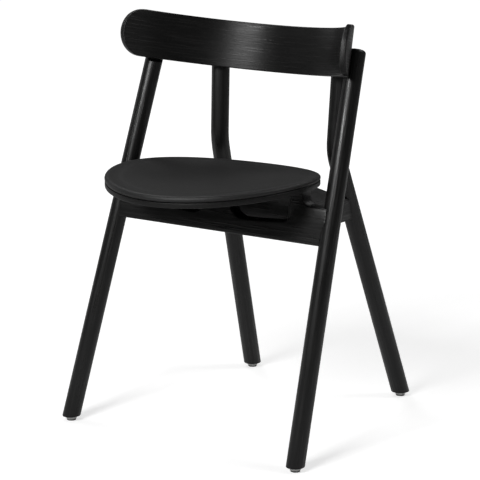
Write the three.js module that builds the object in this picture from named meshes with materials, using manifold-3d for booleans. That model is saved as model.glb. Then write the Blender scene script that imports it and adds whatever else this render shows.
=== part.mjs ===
// Wooden side chair: round leaning legs, a bent backrest board let into them,
// and a round seat plate with a thin leather pad, carried by four rails.
// Millimetres, +Z up. The chair faces -Y and is symmetric about X = 0.
// The origin is on the floor under the middle of the chair. Right means +X.
import * as THREE from "three";
import { mergeVertices } from "three/addons/utils/BufferGeometryUtils.js";
import Module from "manifold-3d";

const wasm = await Module();
wasm.setup();

// Driving dimensions of the whole chair
const glideHeight = 8.4;
const fitGap = 0.3;

// Front legs: straight round posts. At the top the axis stands a set depth out from the
// backrest's inner arc, and the foot is splayed out from there.
const frontLegDiameter = 32.6;
const frontLegSplay = 33.08;
const frontLegDepth = 21.35;
const frontFootY = -206.3;
const frontTopY = 30.58;
const frontTopZ = 694.9;
const frontLegArris = 6;

// Rear legs: round, with one bend; the right one's axis at foot, corner and top
const rearLegDiameter = 33.8;
const rearFootX = 173.2;
const rearFootY = 274.6;
const rearBendX = 128.9;
const rearBendY = 100.6;
const rearBendZ = 495.4;
const rearTopX = 134.1;
const rearTopY = 113.8;
const rearTopZ = 708;
const rearBendRadius = 96;
const rearLegArris = 2;

// Backrest board: inner face on an arc, leaning back, with round ends
const backRadius = 241.7;
const backHeight = 87;
const backHalfLength = 313.8;
const backThickness = 11.5;
const backLean = THREE.MathUtils.degToRad(11.9);
const backY = 118;
const backZ = 672.5;
const backArris = 3;
const rebateRunout = 6;

// Seat: plate and pad are round in plan and bent about the front-back axis
const seatY = -101.1;
const padRadius = 191.4;
const padOverhang = 0.5;
const seatBendRadius = 1412;
const plateRadius = padRadius - padOverhang;
const plateUnderZ = 446.3;
const plateThickness = 9.1;
const plateArris = 1.5;
const padEdgeHeight = 8.4;
const padWideShare = 0.6;
const padCrown = 4;
const padCreaseInset = 3;
const leatherThickness = 1.4;
const padBoardThickness = 3;

// Rails under the seat
const railBottomZ = 368;
const frontRailThickness = 26.4;
const frontRailLean = THREE.MathUtils.degToRad(12);
const frontRailAhead = 2;
const frontRailEndZ = 432;
const railArris = 2.5;
const scoopFloorZ = 395;
const scoopInnerX = 20;
const scoopInnerRadius = 38;
const scoopOuterX = 152;
const scoopOuterRadius = 12;
const outerLandX = 174;
const outerLandRadius = 20;
const sideRailX = 140;
const sideRailThickness = 18;
const sideRailTopEndY = -14;
const sideRailEndZ = 405;
const rearRailY = -15;
const rearRailThickness = 20;
const rearRailHousing = 6;

// Fasteners
const dowelDiameter = 8;
const dowelLength = 36;
const seatScrewLength = 45;
const seatScrewBite = 7;
const seatBoreDiameter = 11;
const backScrewLength = 26;
const backScrewBite = 8;
const plugDiameter = 10;
const padScrewShare = 0.627;
const padScrewBite = 2;
const woodShank = 2.2;
const woodHead = 4.2;
const woodHeadHeight = 3;
const padShank = 1.6;
const padHead = 3.6;
const padHeadHeight = 2;

// Glides nailed under the legs
const glideRadius = 9.6;
const glideFeltRadius = 8.4;
const glideFeltHeight = 2.6;
const nailDiameter = 2.6;
const nailHeadRadius = 4;
const nailHeadHeight = 1.2;
const nailLength = 20;

// Facets of round shapes
const legSides = 32;
const seatSides = 48;
const boardSteps = 32;
const endSteps = 6;
const arrisSteps = 2;
const filletSteps = 3;
const rebateSteps = 5;
const glideSides = 16;
const plugSides = 12;
const dowelSides = 10;
const screwSides = 8;

const material = {
  oak: new THREE.MeshStandardMaterial({ color: 0x1c1b1a, roughness: 0.5, metalness: 0 }),
  plywood: new THREE.MeshStandardMaterial({ color: 0x242322, roughness: 0.55, metalness: 0 }),
  leather: new THREE.MeshStandardMaterial({ color: 0x2a2a2a, roughness: 0.6, metalness: 0 }),
  foam: new THREE.MeshStandardMaterial({ color: 0xc9c2a8, roughness: 0.95, metalness: 0 }),
  beech: new THREE.MeshStandardMaterial({ color: 0xb99a6b, roughness: 0.7, metalness: 0 }),
  steel: new THREE.MeshStandardMaterial({ color: 0x6b6d70, roughness: 0.4, metalness: 0.9 }),
  nylon: new THREE.MeshStandardMaterial({ color: 0xb4b4b2, roughness: 0.5, metalness: 0 }),
  felt: new THREE.MeshStandardMaterial({ color: 0x55534f, roughness: 0.95, metalness: 0 }),
};

const vector = (x, y, z) => new THREE.Vector3(x, y, z);
const AXIS_Y = vector(0, 1, 0);
const AXIS_Z = vector(0, 0, 1);

// Solids

function solidOf(geometry, matrix = new THREE.Matrix4()) {
  const bare = new THREE.BufferGeometry();
  bare.setAttribute("position", geometry.getAttribute("position").clone());
  if (geometry.index) bare.setIndex(geometry.index.clone());
  bare.applyMatrix4(matrix);
  const merged = mergeVertices(bare, fitGap / 1000);
  return new wasm.Manifold(
    new wasm.Mesh({
      numProp: 3,
      vertProperties: new Float32Array(merged.attributes.position.array),
      triVerts: new Uint32Array(merged.index.array),
    }),
  );
}

function geometryOf(solid) {
  const mesh = solid.getMesh();
  const geometry = new THREE.BufferGeometry();
  geometry.setAttribute("position", new THREE.BufferAttribute(mesh.vertProperties, 3));
  geometry.setIndex(new THREE.BufferAttribute(mesh.triVerts, 1));
  geometry.computeVertexNormals();
  return geometry;
}

function meshOf(name, geometry, look) {
  const mesh = new THREE.Mesh(geometry, look);
  mesh.name = name;
  return mesh;
}

// A closed body through rings of equally many points. Each end is closed by strips
// between the ring's two halves.
function loft(rings) {
  const count = rings[0].length;
  const half = count / 2;
  const index = [];
  for (let k = 0; k + 1 < rings.length; k++) {
    for (let j = 0; j < count; j++) {
      const a = k * count + j;
      const b = k * count + ((j + 1) % count);
      index.push(a, b, b + count, a, b + count, a + count);
    }
  }
  const last = (rings.length - 1) * count;
  for (let j = 0; j + 1 < half; j++) {
    const low = j;
    const high = count - 1 - j;
    index.push(low, high, high - 1, low, high - 1, low + 1);
    index.push(last + low, last + high - 1, last + high, last + low, last + low + 1, last + high - 1);
  }
  const geometry = new THREE.BufferGeometry().setFromPoints(rings.flat());
  geometry.setIndex(index);
  return geometry;
}

// A round shape turned about +Z from its profile: [radius, height]
function turned(profile, sides) {
  const points = profile.map(([r, z]) => new THREE.Vector2(r, z));
  return new THREE.LatheGeometry(points, sides).rotateX(Math.PI / 2);
}

function placeAt(position, direction = AXIS_Z) {
  const turn = new THREE.Quaternion().setFromUnitVectors(AXIS_Z, direction);
  return new THREE.Matrix4().compose(position, turn, vector(1, 1, 1));
}

function placed(name, geometry, look, matrix) {
  const mesh = meshOf(name, geometry, look);
  mesh.applyMatrix4(matrix);
  return mesh;
}

const rod = (radius, length, sides) =>
  turned([[0, 0], [radius, 0], [radius, length], [0, length]], sides);

// Mirrors a direction or place to the left side
const onSide = (point, side) => vector(point.x * side, point.y, point.z);

// The backrest arc's own directions and centre

const backAcross = vector(0, Math.cos(backLean), -Math.sin(backLean));
const backUp = vector(0, Math.sin(backLean), Math.cos(backLean));
const backCentre = vector(0, backY, backZ).addScaledVector(backAcross, -backRadius);

// Legs

function tubeRing(station, normal, radius) {
  const across = new THREE.Vector3().crossVectors(station.tangent, normal).normalize();
  return Array.from({ length: legSides }, (_, i) => {
    const angle = (2 * Math.PI * (i + 0.5)) / legSides;
    return station.point
      .clone()
      .addScaledVector(normal, radius * Math.cos(angle))
      .addScaledVector(across, radius * Math.sin(angle));
  });
}

// A round leg through its stations: the foot is cut level, the top arris is rounded
function legGeometry(stations, normal, radius, arris) {
  const rings = stations.map((station) => tubeRing(station, normal, radius));
  for (const point of rings[0]) {
    const tangent = stations[0].tangent;
    point.addScaledVector(tangent, (stations[0].point.z - point.z) / tangent.z);
  }
  const top = stations.at(-1);
  rings.pop();
  for (let i = 0; i <= filletSteps; i++) {
    const angle = (Math.PI / 2) * (i / filletSteps);
    const point = top.point.clone().addScaledVector(top.tangent, arris * (Math.sin(angle) - 1));
    const inset = arris * (1 - Math.cos(angle));
    rings.push(tubeRing({ point, tangent: top.tangent }, normal, radius - inset));
  }
  return loft(rings);
}

const frontTop = vector(0, frontTopY, frontTopZ);
frontTop.x = Math.sqrt(
  (backRadius + frontLegDepth) ** 2 - frontTop.clone().sub(backCentre).dot(backAcross) ** 2,
);
const frontFoot = vector(frontTop.x + frontLegSplay, frontFootY, glideHeight);
const frontAxis = frontTop.clone().sub(frontFoot).normalize();

const rearFoot = vector(rearFootX, rearFootY, glideHeight);
const rearBend = vector(rearBendX, rearBendY, rearBendZ);
const rearTop = vector(rearTopX, rearTopY, rearTopZ);
const rearLowAxis = rearBend.clone().sub(rearFoot).normalize();
const rearHighAxis = rearTop.clone().sub(rearBend).normalize();
const rearNormal = new THREE.Vector3().crossVectors(rearLowAxis, rearHighAxis).normalize();

// The point of a straight axis at a height
const axisAt = (point, axis, z) =>
  point.clone().addScaledVector(axis, (z - point.z) / axis.z);
const frontAxisAt = (z) => axisAt(frontFoot, frontAxis, z);
const rearAxisAt = (z) => axisAt(rearFoot, rearLowAxis, z);

function frontLegSolid(side, grow = 0) {
  const stations = [
    { point: frontFoot, tangent: frontAxis },
    { point: frontTop, tangent: frontAxis },
  ];
  const normal = new THREE.Vector3().crossVectors(AXIS_Y, frontAxis).normalize();
  const radius = frontLegDiameter / 2 + grow;
  const leg = solidOf(legGeometry(stations, normal, radius, frontLegArris));
  return side > 0 ? leg : leg.mirror([1, 0, 0]);
}

function rearLegSolid(side, grow = 0) {
  const deflection = rearLowAxis.angleTo(rearHighAxis);
  const reach = rearBendRadius * Math.tan(deflection / 2);
  const start = rearBend.clone().addScaledVector(rearLowAxis, -reach);
  const inward = new THREE.Vector3().crossVectors(rearNormal, rearLowAxis).normalize();
  const centre = start.clone().addScaledVector(inward, rearBendRadius);
  const stations = [{ point: rearFoot, tangent: rearLowAxis }];
  for (let i = 0; i <= endSteps; i++) {
    const angle = deflection * (i / endSteps);
    const turn = new THREE.Quaternion().setFromAxisAngle(rearNormal, angle);
    const arm = inward.clone().multiplyScalar(-rearBendRadius).applyQuaternion(turn);
    stations.push({ point: centre.clone().add(arm), tangent: rearLowAxis.clone().applyQuaternion(turn) });
  }
  stations.push({ point: rearTop, tangent: rearHighAxis });
  const radius = rearLegDiameter / 2 + grow;
  const leg = solidOf(legGeometry(stations, rearNormal, radius, rearLegArris));
  return side > 0 ? leg : leg.mirror([1, 0, 0]);
}

// Backrest. A place on it is given by its length along the inner arc, its height from
// the middle line and its depth out from the inner face.

function backOutward(along) {
  const angle = along / backRadius;
  return backAcross.clone().multiplyScalar(Math.cos(angle)).add(vector(Math.sin(angle), 0, 0));
}

function backPoint(along, height, depth) {
  return backCentre
    .clone()
    .addScaledVector(backOutward(along), backRadius + depth)
    .addScaledVector(backUp, height);
}

// One side of the board's outline from the middle to the tip: [along, half height]
function backOutline(inset) {
  const endRadius = backHeight / 2;
  const straight = backHalfLength - endRadius;
  const stations = [];
  for (let i = 0; i <= boardSteps / 2; i++) {
    stations.push([(straight * i) / (boardSteps / 2), endRadius - inset]);
  }
  for (let i = 1; i <= endSteps; i++) {
    const angle = (Math.PI / 2) * (i / (endSteps + 0.5));
    const radius = endRadius - inset;
    stations.push([straight + radius * Math.sin(angle), radius * Math.cos(angle)]);
  }
  return stations;
}

function backRing(inset, depth) {
  const right = backOutline(inset);
  const left = right.slice(1).reverse().map(([along, half]) => [-along, half]);
  const upper = [...left, ...right];
  const lower = [...upper].reverse();
  return [
    ...upper.map(([along, half]) => backPoint(along, half, depth)),
    ...lower.map(([along, half]) => backPoint(along, -half, depth)),
  ];
}

// The board, or the board grown by a clearance on all faces
function backSolid(grow = 0) {
  const thickness = backThickness + 2 * grow;
  const rings = [];
  for (let i = 0; i <= arrisSteps; i++) {
    const angle = (Math.PI / 2) * (i / arrisSteps);
    rings.push([backArris * (1 - Math.sin(angle)) - grow, backArris * (1 - Math.cos(angle)) - grow]);
  }
  const outer = rings.map(([inset, depth]) => [inset, thickness - 2 * grow - depth]).reverse();
  return solidOf(loft([...rings, ...outer].map(([inset, depth]) => backRing(inset, depth))));
}

// What the rebate in a front leg takes away: everything inside the board's outer face,
// above its lower edge, with a round run-out below
function backRebate() {
  const low = -backHeight / 2 - fitGap;
  const outer = backThickness + fitGap;
  const inner = -2 * frontLegDiameter;
  const section = [[low - rebateRunout, inner]];
  for (let i = 0; i < rebateSteps; i++) {
    const angle = (Math.PI / 2) * (1 - i / (rebateSteps - 1));
    const sink = rebateRunout * Math.sin(angle);
    const inset = rebateRunout * (1 - Math.cos(angle));
    section.push([low - sink, outer - inset]);
  }
  section.push([backHeight, outer], [backHeight, inner]);
  const straight = backHalfLength - backHeight / 2;
  const rings = Array.from({ length: boardSteps / 2 + 1 }, (_, i) => {
    const along = (straight * i) / (boardSteps / 2);
    return section.map(([height, depth]) => backPoint(along, height, depth));
  });
  return solidOf(loft(rings));
}

// Screws and dowels. A screw's tip is at its own origin and its head away along +Z.

function screwGeometry(length, shank, head, headHeight, grow = 0) {
  const tip = 2 * shank;
  return turned(
    [
      [0, -grow],
      [shank + grow, tip - grow],
      [shank + grow, length - headHeight - grow],
      [head + grow, length - headHeight / 2 - grow],
      [head + grow, length + grow],
      [0, length + grow],
    ],
    screwSides,
  );
}

const woodScrew = (length, grow) =>
  screwGeometry(length, woodShank, woodHead, woodHeadHeight, grow);

// Backrest screws: each lies on the line from the arc's centre through the leg's axis

function backScrewPlace(point, axis, height, side) {
  const offset = point.clone().sub(backCentre);
  const rise = (height - offset.dot(backUp)) / axis.dot(backUp);
  const hit = offset.addScaledVector(axis, rise);
  const along = Math.atan2(hit.x, hit.dot(backAcross)) * backRadius;
  const tip = backPoint(along, height, backThickness - backScrewBite);
  return placeAt(onSide(tip, side), onSide(backOutward(along), side));
}

const rearScrewHeightShares = [0.1, 0.52];
const frontScrewHeightShare = -0.55;

const backScrews = [];
for (const [side, word] of [[1, "right"], [-1, "left"]]) {
  rearScrewHeightShares.forEach((share, i) => {
    const height = (share * backHeight) / 2;
    const place = backScrewPlace(rearBend, rearHighAxis, height, side);
    backScrews.push({ name: "rear_" + word + "_" + (i + 1), leg: "rear", side, place });
  });
  const height = (frontScrewHeightShare * backHeight) / 2;
  const place = backScrewPlace(frontFoot, frontAxis, height, side);
  backScrews.push({ name: "front_" + word, leg: "front", side, place });
}

const screwCut = ({ place }) => solidOf(woodScrew(backScrewLength, fitGap), place);

function plugBore(place, grow) {
  const start = place.clone().multiply(placeAt(vector(0, 0, backScrewLength + fitGap - grow)));
  return solidOf(rod(plugDiameter / 2 + grow, rearLegDiameter, plugSides), start);
}

// Rails

// Middle plane of the front rail at a height
const frontRailY = (z) =>
  frontAxisAt(scoopFloorZ).y - frontRailAhead + (z - scoopFloorZ) * Math.tan(frontRailLean);
const frontRailDepth = frontRailThickness / Math.cos(frontRailLean);
const seatCurve = 1 / (2 * seatBendRadius);
const plateUnderAt = (x) => plateUnderZ + seatCurve * x * x;
const legHold = frontLegDiameter / 8;

// The front rail's outline: lands up to the plate with scoops between them. The lands run
// into the plate's thickness, and the plate then trims them.
function frontRailShape() {
  const endX = (z) => frontAxisAt(z).x - legHold;
  const floorAt = (x) => scoopFloorZ + seatCurve * x * x;
  const floorIn = scoopInnerX + scoopInnerRadius;
  const floorOut = scoopOuterX - scoopOuterRadius;
  const cornerX = outerLandX + outerLandRadius;
  const landTop = plateUnderAt(outerLandX) + plateThickness / 4;
  const half = new THREE.Path();
  half.moveTo(endX(railBottomZ), railBottomZ);
  half.lineTo(endX(frontRailEndZ), frontRailEndZ);
  half.lineTo(cornerX, frontRailEndZ);
  half.absarc(cornerX, frontRailEndZ + outerLandRadius, outerLandRadius, -Math.PI / 2, -Math.PI, true);
  half.lineTo(outerLandX, landTop);
  half.lineTo(scoopOuterX, landTop);
  half.absarc(floorOut, floorAt(floorOut) + scoopOuterRadius, scoopOuterRadius, 0, -Math.PI / 2, true);
  half.quadraticCurveTo(
    (floorIn + floorOut) / 2,
    scoopFloorZ + seatCurve * floorIn * floorOut,
    floorIn,
    floorAt(floorIn),
  );
  half.absarc(floorIn, floorAt(floorIn) + scoopInnerRadius, scoopInnerRadius, -Math.PI / 2, -Math.PI, true);
  half.lineTo(scoopInnerX, plateUnderZ + plateThickness / 2);
  const right = half.getPoints(filletSteps);
  const left = right.map((point) => new THREE.Vector2(-point.x, point.y)).reverse();
  return new THREE.Shape([...right, ...left]);
}

// An outline in X and Z made into a board of a given depth, middle plane on Y = 0
function crossBoard(shape, depth) {
  return extruded(shape, depth).rotateX(Math.PI / 2);
}

function extruded(shape, depth) {
  const geometry = new THREE.ExtrudeGeometry(shape, {
    depth: depth - 2 * railArris,
    bevelThickness: railArris,
    bevelSize: railArris,
    bevelOffset: -railArris,
    bevelSegments: 2,
  });
  return geometry.translate(0, 0, railArris - depth / 2);
}

function frontRailBlank(grow = 0) {
  const lean = new THREE.Matrix4().makeShear(0, 0, 0, 0, 0, Math.tan(frontRailLean));
  const place = new THREE.Matrix4().makeTranslation(0, frontRailY(0), 0).multiply(lean);
  return solidOf(crossBoard(frontRailShape(), frontRailDepth + 2 * grow), place);
}

// Side rail's outline in Y and Z: square to the front rail, top falling to the rear leg
function sideRailShape() {
  const frontY = (z) => frontRailY(z) + frontRailDepth / 2 + fitGap;
  const legY = (z) => rearAxisAt(z).y - rearLegDiameter / 4;
  const top = plateUnderAt(sideRailX + sideRailThickness / 2) + plateThickness / 4;
  const points = [
    [frontY(railBottomZ), railBottomZ],
    [legY(railBottomZ), railBottomZ],
    [legY(sideRailEndZ), sideRailEndZ],
    [sideRailTopEndY, top],
    [frontY(top), top],
  ];
  return new THREE.Shape(points.map(([y, z]) => new THREE.Vector2(y, z)));
}

function sideRailBlank(side) {
  const turn = new THREE.Matrix4().makeBasis(AXIS_Y, AXIS_Z, vector(1, 0, 0));
  const place = new THREE.Matrix4().makeTranslation(side * sideRailX, 0, 0).multiply(turn);
  return solidOf(extruded(sideRailShape(), sideRailThickness), place);
}

function rearRailBlank(grow = 0) {
  const length = 2 * (sideRailX - sideRailThickness / 2 + rearRailHousing) + 2 * grow;
  const height = plateUnderZ + plateThickness / 2 - railBottomZ + 2 * grow;
  const box = new THREE.BoxGeometry(length, rearRailThickness + 2 * grow, height);
  return solidOf(box.translate(0, rearRailY, railBottomZ + height / 2 - grow));
}

// Seat discs: one profile turned, then bent so that the sides rise. All discs share the
// same rings and sides, so their faces stay parallel.

const ringShares = [0.3, 0.55, 0.78];

function disc(bottomZ, topAt, radius, rim, grow = 0) {
  const low = ringShares.map((share) => [share * plateRadius, bottomZ - grow]);
  const high = ringShares.map((share) => [share * plateRadius, topAt(share * plateRadius) + grow]);
  const profile = [[0, bottomZ - grow], ...low, ...rim, ...high.reverse(), [0, topAt(0) + grow]];
  return bent(turned(profile, seatSides));
}

function bent(geometry) {
  const place = geometry.attributes.position;
  for (let i = 0; i < place.count; i++) {
    place.setZ(i, place.getZ(i) + seatCurve * place.getX(i) ** 2);
  }
  return geometry.translate(0, seatY, 0);
}

function plateSolid(grow = 0) {
  const top = plateUnderZ + plateThickness;
  const rim = [
    [plateRadius - plateArris + grow, plateUnderZ - grow],
    [plateRadius + grow, plateUnderZ + plateArris - grow],
    [plateRadius + grow, top - plateArris + grow],
    [plateRadius - plateArris + grow, top + grow],
  ];
  return solidOf(disc(plateUnderZ, () => top, plateRadius, rim, grow));
}

const padBottomZ = plateUnderZ + plateThickness + fitGap;
const padWideZ = padBottomZ + padEdgeHeight * padWideShare;
const padTopEdgeZ = padBottomZ + padEdgeHeight;
const padTopRadius = padRadius - padEdgeHeight / 2;
const crownAt = (r) => padTopEdgeZ + padCrown * (1 - (r / padTopRadius) ** 2);

// Leather cover, open below: outer skin up and over, inner skin back down
function padCoverGeometry() {
  const creaseRadius = padRadius - padCreaseInset;
  const t = leatherThickness;
  const radii = ringShares.map((share) => share * plateRadius);
  const under = (r) => crownAt(r) - t;
  const profile = [
    [0, under(0)],
    ...radii.map((r) => [r, under(r)]),
    [padTopRadius - t, under(padTopRadius - t)],
    [padRadius - t, padWideZ],
    [creaseRadius - t, padBottomZ],
    [creaseRadius, padBottomZ],
    [padRadius - t / 4, (padBottomZ + padWideZ) / 2],
    [padRadius, padWideZ],
    [padRadius - t / 2, (padWideZ + padTopEdgeZ) / 2],
    [padTopRadius, padTopEdgeZ],
    ...radii.map((r) => [r, crownAt(r)]).reverse(),
    [0, crownAt(0)],
  ];
  return bent(turned(profile, seatSides));
}

const padHemRadius = padRadius - padCreaseInset - leatherThickness - fitGap;

function padBoardSolid() {
  const top = padBottomZ + padBoardThickness;
  const rim = [
    [padHemRadius, padBottomZ],
    [padHemRadius, top],
  ];
  return solidOf(disc(padBottomZ, () => top, padHemRadius, rim));
}

function padFoamGeometry() {
  const bottom = padBottomZ + padBoardThickness + fitGap;
  const topAt = (r) => crownAt(r) - leatherThickness - fitGap;
  const topRadius = padTopRadius - leatherThickness - fitGap;
  const rim = [
    [padHemRadius, bottom],
    [padHemRadius, padWideZ],
    [topRadius, topAt(topRadius)],
  ];
  return disc(bottom, topAt, padHemRadius, rim);
}

// Seat screws: up through the rails, each in a counterbore from below

const leanAxis = vector(0, Math.sin(frontRailLean), Math.cos(frontRailLean));
const frontRailBackY = (z) => frontRailY(z) + frontRailDepth / 2;
const sideScrewY = (frontRailBackY(plateUnderZ) + rearRailY - rearRailThickness / 2) / 2;

function seatScrew(name, x, y, axis) {
  const tip = vector(x, y, plateUnderAt(x)).addScaledVector(axis, seatScrewBite);
  return { name: "seat_screw_" + name, place: placeAt(tip, axis.clone().negate()) };
}

const seatScrews = {
  front: seatScrew("front", 0, frontRailY(plateUnderZ), leanAxis),
  rear: seatScrew("rear", 0, rearRailY, AXIS_Z),
  right: seatScrew("right", sideRailX, sideScrewY, AXIS_Z),
  left: seatScrew("left", -sideRailX, sideScrewY, AXIS_Z),
};

function seatScrewCut({ place }) {
  const bore = place.clone().multiply(placeAt(vector(0, 0, seatScrewLength)));
  const below = solidOf(rod(seatBoreDiameter / 2, plateUnderZ - railBottomZ, plugSides), bore);
  return solidOf(woodScrew(seatScrewLength, fitGap), place).add(below);
}

// Pad screws: up through the plate into the pad's board, evenly round a circle

const padScrewCount = 3;
const padScrewLength = plateThickness + fitGap + padScrewBite + padHeadHeight;
const padScrews = Array.from({ length: padScrewCount }, (_, i) => {
  const angle = (2 * Math.PI * i) / padScrewCount;
  const x = padScrewShare * padRadius * Math.sin(angle);
  const y = seatY - padScrewShare * padRadius * Math.cos(angle);
  const tip = vector(x, y, padBottomZ + seatCurve * x * x + padScrewBite);
  return { name: "pad_screw_" + (i + 1), place: placeAt(tip, AXIS_Z.clone().negate()) };
});

const padScrewGeometry = (grow) =>
  screwGeometry(padScrewLength, padShank, padHead, padHeadHeight, grow);

// Dowels: each pair stands at two heights of its joint

const dowelHeightShares = [0.27, 0.73];
const AXIS_X = vector(1, 0, 0);

const dowels = [];
for (const [side, word] of [[1, "right"], [-1, "left"]]) {
  dowelHeightShares.forEach((share, i) => {
    const legZ = railBottomZ + share * (frontRailEndZ - railBottomZ);
    const legX = frontAxisAt(legZ).x - frontLegDiameter / 2;
    dowels.push({
      name: "dowel_front_leg_" + word + "_" + (i + 1),
      kind: "frontLeg",
      side,
      place: placeAt(vector(side * legX, frontRailY(legZ), legZ), AXIS_X),
    });
    const cornerZ = railBottomZ + share * (scoopFloorZ + seatCurve * sideRailX ** 2 - railBottomZ);
    dowels.push({
      name: "dowel_corner_" + word + "_" + (i + 1),
      kind: "corner",
      side,
      place: placeAt(vector(side * sideRailX, frontRailBackY(cornerZ), cornerZ), AXIS_Y),
    });
    const rearZ = railBottomZ + share * (sideRailEndZ - railBottomZ);
    const rearY = rearAxisAt(rearZ).y - rearLegDiameter / 2;
    dowels.push({
      name: "dowel_rear_leg_" + word + "_" + (i + 1),
      kind: "rearLeg",
      side,
      place: placeAt(vector(side * sideRailX, rearY, rearZ), AXIS_Y),
    });
  });
}

function dowelGeometry(grow = 0) {
  const length = dowelLength + 2 * grow;
  return rod(dowelDiameter / 2 + grow, length, dowelSides).translate(0, 0, -length / 2);
}

const dowelCuts = (side, ...kinds) =>
  dowels
    .filter((dowel) => (side === 0 || dowel.side === side) && kinds.includes(dowel.kind))
    .map((dowel) => solidOf(dowelGeometry(fitGap), dowel.place));

// Glides: nylon body with a felt sole, held by a nail up into the leg

const glideBodyZ = glideFeltHeight + fitGap;
const nailRadius = nailDiameter / 2;

function glideBodyGeometry() {
  const headZ = glideBodyZ + nailHeadHeight + fitGap;
  const topZ = glideHeight - fitGap;
  const arris = glideRadius / 16;
  const bore = nailRadius + fitGap;
  return turned(
    [
      [bore, headZ],
      [nailHeadRadius + fitGap, headZ],
      [nailHeadRadius + fitGap, glideBodyZ],
      [glideRadius - arris, glideBodyZ],
      [glideRadius, glideBodyZ + arris],
      [glideRadius, topZ - arris],
      [glideRadius - arris, topZ],
      [bore, topZ],
      [bore, headZ],
    ],
    glideSides,
  );
}

const nailGeometry = () =>
  turned(
    [
      [0, 0],
      [nailHeadRadius, 0],
      [nailHeadRadius, nailHeadHeight],
      [nailRadius, nailHeadHeight],
      [nailRadius, nailLength - nailDiameter],
      [0, nailLength],
    ],
    screwSides,
  ).translate(0, 0, glideBodyZ);

const feet = [];
for (const [side, word] of [[1, "right"], [-1, "left"]]) {
  feet.push({ name: "front_" + word, at: onSide(frontFoot, side).setZ(0) });
  feet.push({ name: "rear_" + word, at: onSide(rearFoot, side).setZ(0) });
}

function nailCut(foot, side) {
  const hole = rod(nailRadius + fitGap, glideBodyZ + nailLength + fitGap, screwSides);
  return solidOf(hole, placeAt(onSide(foot, side).setZ(0)));
}

// Finished solids

const without = (solid, cuts) => cuts.reduce((rest, cut) => rest.subtract(cut), solid);

function frontLeg(side) {
  const rebate = side > 0 ? backRebate() : backRebate().mirror([1, 0, 0]);
  const screws = backScrews.filter((screw) => screw.leg === "front" && screw.side === side);
  return without(frontLegSolid(side), [
    rebate,
    ...screws.map(screwCut),
    ...screws.map((screw) => plugBore(screw.place, fitGap)),
    ...dowelCuts(side, "frontLeg"),
    nailCut(frontFoot, side),
  ]);
}

function rearLeg(side) {
  const screws = backScrews.filter((screw) => screw.leg === "rear" && screw.side === side);
  return without(rearLegSolid(side), [
    backSolid(fitGap),
    ...screws.map(screwCut),
    ...screws.map((screw) => plugBore(screw.place, fitGap)),
    ...dowelCuts(side, "rearLeg"),
    nailCut(rearFoot, side),
  ]);
}

function plug(screw) {
  const leg = screw.leg === "front" ? frontLegSolid(screw.side) : rearLegSolid(screw.side);
  return plugBore(screw.place, 0).intersect(leg);
}

const grownPlate = plateSolid(fitGap);

const frontRail = without(frontRailBlank(), [
  grownPlate,
  frontLegSolid(1, fitGap),
  frontLegSolid(-1, fitGap),
  ...dowelCuts(0, "frontLeg", "corner"),
  seatScrewCut(seatScrews.front),
]);

const sideRail = (side) =>
  without(sideRailBlank(side), [
    grownPlate,
    rearLegSolid(side, fitGap),
    rearRailBlank(fitGap),
    ...dowelCuts(side, "corner", "rearLeg"),
    seatScrewCut(side > 0 ? seatScrews.right : seatScrews.left),
  ]);

const rearRail = without(rearRailBlank(), [grownPlate, seatScrewCut(seatScrews.rear)]);
const padScrewCuts = padScrews.map(({ place }) => solidOf(padScrewGeometry(fitGap), place));
const plate = without(plateSolid(), [
  ...Object.values(seatScrews).map(({ place }) => solidOf(woodScrew(seatScrewLength, fitGap), place)),
  ...padScrewCuts,
]);
const padBoard = without(padBoardSolid(), padScrewCuts);
const back = without(backSolid(), backScrews.map(screwCut));

// Scene graph

const chair = new THREE.Group();
const section = (...meshes) => chair.add(new THREE.Group().add(...meshes));
const cutMesh = (name, solid, look) => meshOf(name, geometryOf(solid), look);

section(
  cutMesh("backrest_board", back, material.oak),
  cutMesh("front_leg_right", frontLeg(1), material.oak),
  cutMesh("front_leg_left", frontLeg(-1), material.oak),
  cutMesh("rear_leg_right", rearLeg(1), material.oak),
  cutMesh("rear_leg_left", rearLeg(-1), material.oak),
);

section(
  cutMesh("front_rail", frontRail, material.oak),
  cutMesh("side_rail_right", sideRail(1), material.oak),
  cutMesh("side_rail_left", sideRail(-1), material.oak),
  cutMesh("rear_rail", rearRail, material.oak),
);

section(
  cutMesh("seat_plate", plate, material.plywood),
  cutMesh("pad_board", padBoard, material.plywood),
  meshOf("pad_foam", padFoamGeometry(), material.foam),
  meshOf("pad_cover", padCoverGeometry(), material.leather),
);

section(
  ...backScrews.map((screw) =>
    placed("back_screw_" + screw.name, woodScrew(backScrewLength), material.steel, screw.place)),
  ...backScrews.map((screw) => cutMesh("plug_" + screw.name, plug(screw), material.oak)),
  ...Object.values(seatScrews).map(({ name, place }) =>
    placed(name, woodScrew(seatScrewLength), material.steel, place)),
  ...padScrews.map(({ name, place }) => placed(name, padScrewGeometry(), material.steel, place)),
  ...dowels.map(({ name, place }) => placed(name, dowelGeometry(), material.beech, place)),
);

for (const { name, at } of feet) {
  const glide = new THREE.Group().add(
    meshOf("glide_body_" + name, glideBodyGeometry(), material.nylon),
    meshOf("glide_felt_" + name, rod(glideFeltRadius, glideFeltHeight, glideSides), material.felt),
    meshOf("glide_nail_" + name, nailGeometry(), material.steel),
  );
  glide.position.copy(at);
  chair.add(glide);
}

export default chair;
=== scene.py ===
import math

import bmesh
import bpy
from mathutils import Matrix, Vector


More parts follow.
